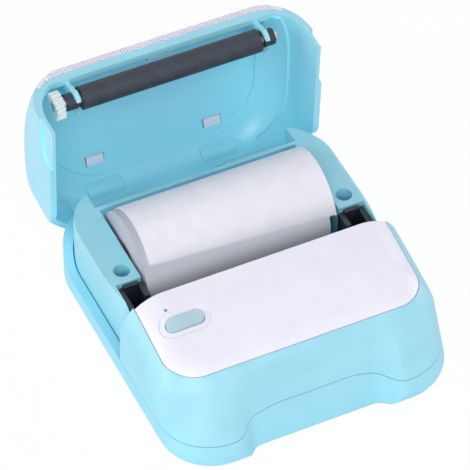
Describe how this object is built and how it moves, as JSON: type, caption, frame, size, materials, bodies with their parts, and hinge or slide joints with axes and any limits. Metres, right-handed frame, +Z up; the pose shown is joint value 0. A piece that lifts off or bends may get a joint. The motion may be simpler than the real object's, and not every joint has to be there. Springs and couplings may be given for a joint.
{
  "type": "portable thermal printer",
  "caption": "Pocket-size thermal printer with a hinged, dished cover standing open, its roller in the cover, a paper roll in the bin and a lower front hood with a push button.",
  "frame": {"origin": "on the surface the printer stands on, under the middle of the open printer's box", "axes": "+Z up, front of the printer at -Y, printer's width along X, hinge line along +X"},
  "size_m": [0.087, 0.1204, 0.0565],
  "materials": {
    "shell_blue": "satin",
    "panel_white": "satin",
    "roller_rubber": "matte",
    "frame_black": "matte",
    "steel": "satin",
    "aluminium": "satin",
    "acetal_white": "satin",
    "ceramic": "gloss",
    "board_green": "satin",
    "foil_grey": "satin",
    "switch_black": "satin",
    "lamp_clear": "gloss",
    "button_blue": "gloss",
    "foot_rubber": "matte",
    "paper_grey": "matte",
    "paper_white": "matte",
    "core_card": "matte"
  },
  "bodies": {
    "housing": {"lower_shell": "shell_blue", "upper_shell": "shell_blue", "front_panel": "panel_white", "rubber_feet": "foot_rubber", "case_screws": "steel", "head_frame": "frame_black", "side_plates": "frame_black", "pocket_strips": "frame_black", "head_springs": "steel", "stepper_motor": "steel", "gear_plate": "steel", "gear_axles": "steel", "battery_pack": "foil_grey", "main_pcb": "board_green", "tact_switch": "switch_black", "light_pipe": "lamp_clear", "usb_c_socket": "steel", "usb_board": "board_green", "paper_sensor": "switch_black", "hinge_pin": "steel", "paper_tail": "paper_white"},
    "cover": {"cover_frame": "shell_blue", "top_plate": "panel_white", "platen_bushings": "frame_black"},
    "platen": {"platen_shaft": "steel", "platen_rubber": "roller_rubber", "platen_gear": "acetal_white"},
    "button": {"power_button": "button_blue"},
    "head": {"print_head": "ceramic", "heat_sink": "aluminium"},
    "roll": {"paper_roll": "paper_grey", "paper_core": "core_card"},
    "idler_b": {"idler_gear_b": "acetal_white"},
    "idler_a": {"idler_gear_a": "acetal_white"},
    "pinion": {"motor_pinion": "acetal_white"}
  },
  "joints": [
    {"name": "cover_hinge", "type": "hinge", "parent": "housing", "child": "cover", "pos_m": [0, 0.02942, 0.00793], "axis": [1, 0, 0], "range_deg": [0, 88]},
    {"name": "platen_spin", "type": "hinge", "parent": "cover", "child": "platen", "pos_m": [0, 0.04245, 0.05227], "axis": [1, 0, 0], "continuous": true},
    {"name": "button_press", "type": "slide", "parent": "housing", "child": "button", "axis": [0, 0, -1], "range_m": [0, 0.0006], "stiffness_N_per_m": 1500},
    {"name": "head_tilt", "type": "hinge", "parent": "housing", "child": "head", "pos_m": [0, -0.0198, 0.0142], "axis": [1, 0, 0], "range_deg": [0, 1.5], "stiffness_Nm_per_rad": 1, "springref_deg": -1.15, "deforming": ["head_springs"]},
    {"name": "roll_spin", "type": "hinge", "parent": "housing", "child": "roll", "pos_m": [0, 0.00756, 0.0194], "axis": [1, 0, 0], "continuous": true},
    {"name": "idler_b_spin", "type": "hinge", "parent": "housing", "child": "idler_b", "pos_m": [0, -0.01956, 0.01595], "axis": [1, 0, 0], "continuous": true},
    {"name": "idler_a_spin", "type": "hinge", "parent": "housing", "child": "idler_a", "pos_m": [0, -0.02781, 0.01112], "axis": [1, 0, 0], "continuous": true},
    {"name": "pinion_spin", "type": "hinge", "parent": "housing", "child": "pinion", "pos_m": [0, -0.03524, 0.0125], "axis": [1, 0, 0], "continuous": true}
  ],
  "couplings": [
    {"joint": "idler_b_spin", "follows": "platen_spin", "ratio": -0.83333},
    {"joint": "idler_a_spin", "follows": "platen_spin", "ratio": 0.75},
    {"joint": "pinion_spin", "follows": "platen_spin", "ratio": -1.5}
  ]
}
